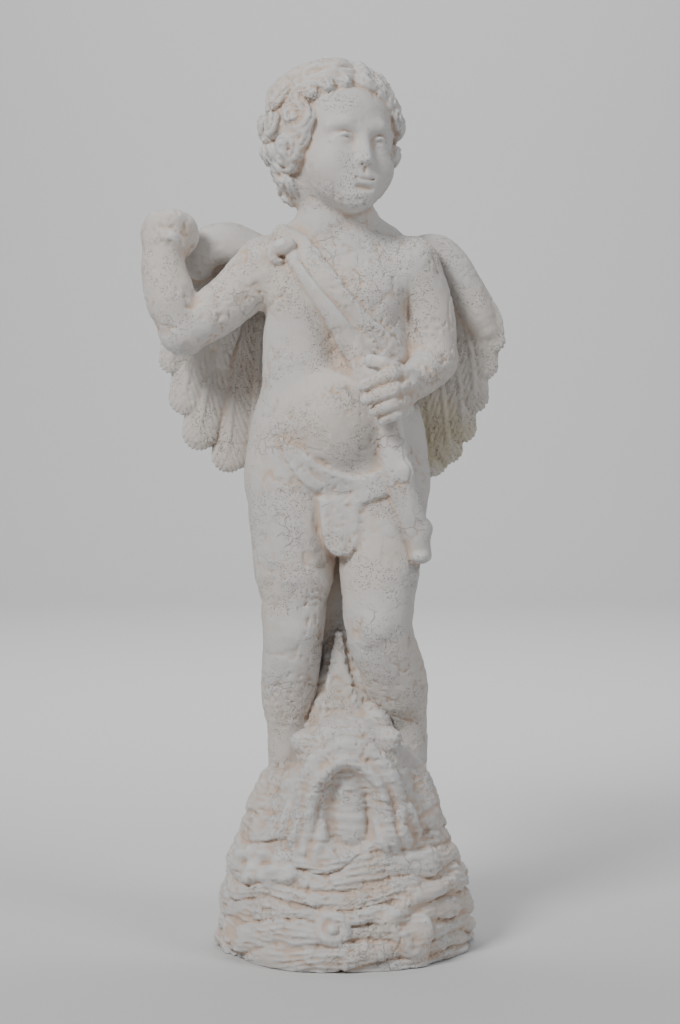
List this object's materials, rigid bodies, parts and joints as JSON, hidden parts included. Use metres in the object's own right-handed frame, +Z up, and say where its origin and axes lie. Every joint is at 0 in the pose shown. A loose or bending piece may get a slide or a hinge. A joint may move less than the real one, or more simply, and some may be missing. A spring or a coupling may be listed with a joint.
{
  "type": "cupid statue",
  "caption": "Cast-stone garden statue of a winged cupid holding a bow, standing on a wave-cut rock behind a fish's open mouth.",
  "frame": {"origin": "centre of the flat underside of the rock", "axes": "+Z up along the figure, -Y towards the viewer, +X to the viewer's right (the figure's left)"},
  "size_m": [0.367, 0.2403, 0.8849],
  "materials": {
    "cast_stone": "matt off-white cast stone with pits, hairline cracks and a warm tint in the hollows"
  },
  "bodies": {
    "root": {"cupid_statue": "cast_stone"}
  },
  "joints": []
}
